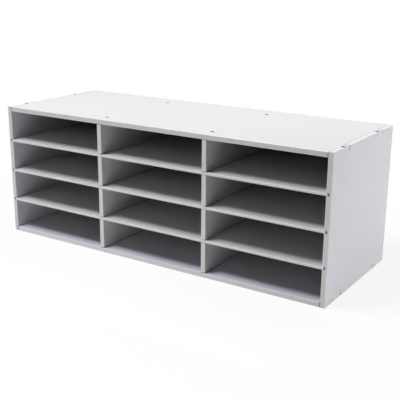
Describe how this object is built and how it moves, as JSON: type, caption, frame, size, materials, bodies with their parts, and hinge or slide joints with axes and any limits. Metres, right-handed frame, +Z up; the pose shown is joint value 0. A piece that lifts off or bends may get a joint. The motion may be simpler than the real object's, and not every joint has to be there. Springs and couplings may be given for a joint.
{
  "type": "desktop paper organizer",
  "caption": "Open-fronted white board desk organizer: a wide case with upright dividers and thin full-width shelves that slide out to the front, making letter slots in columns.",
  "frame": {"origin": "on the desk, under the middle of the case", "axes": "+X across the front to the right, +Y from the open front to the back, +Z up"},
  "size_m": [0.8, 0.3, 0.296],
  "materials": {
    "case_board": "satin",
    "shelf_board": "satin",
    "back_board": "matte",
    "screw": "satin"
  },
  "bodies": {
    "case": {"top_panel": "case_board", "bottom_panel": "case_board", "left_side_panel": "case_board", "right_side_panel": "case_board", "left_divider": "case_board", "right_divider": "case_board", "back_panel": "back_board", "top_end_screws": "screw", "top_divider_screws": "screw", "bottom_end_screws": "screw", "bottom_divider_screws": "screw"},
    "upper_shelf": {"upper_shelf": "shelf_board"},
    "middle_shelf": {"middle_shelf": "shelf_board"},
    "lower_shelf": {"lower_shelf": "shelf_board"}
  },
  "joints": [
    {"name": "upper_shelf_slide", "type": "slide", "parent": "case", "child": "upper_shelf", "axis": [0, -1, 0], "range_m": [0, 0.285]},
    {"name": "middle_shelf_slide", "type": "slide", "parent": "case", "child": "middle_shelf", "axis": [0, -1, 0], "range_m": [0, 0.285]},
    {"name": "lower_shelf_slide", "type": "slide", "parent": "case", "child": "lower_shelf", "axis": [0, -1, 0], "range_m": [0, 0.285]}
  ]
}
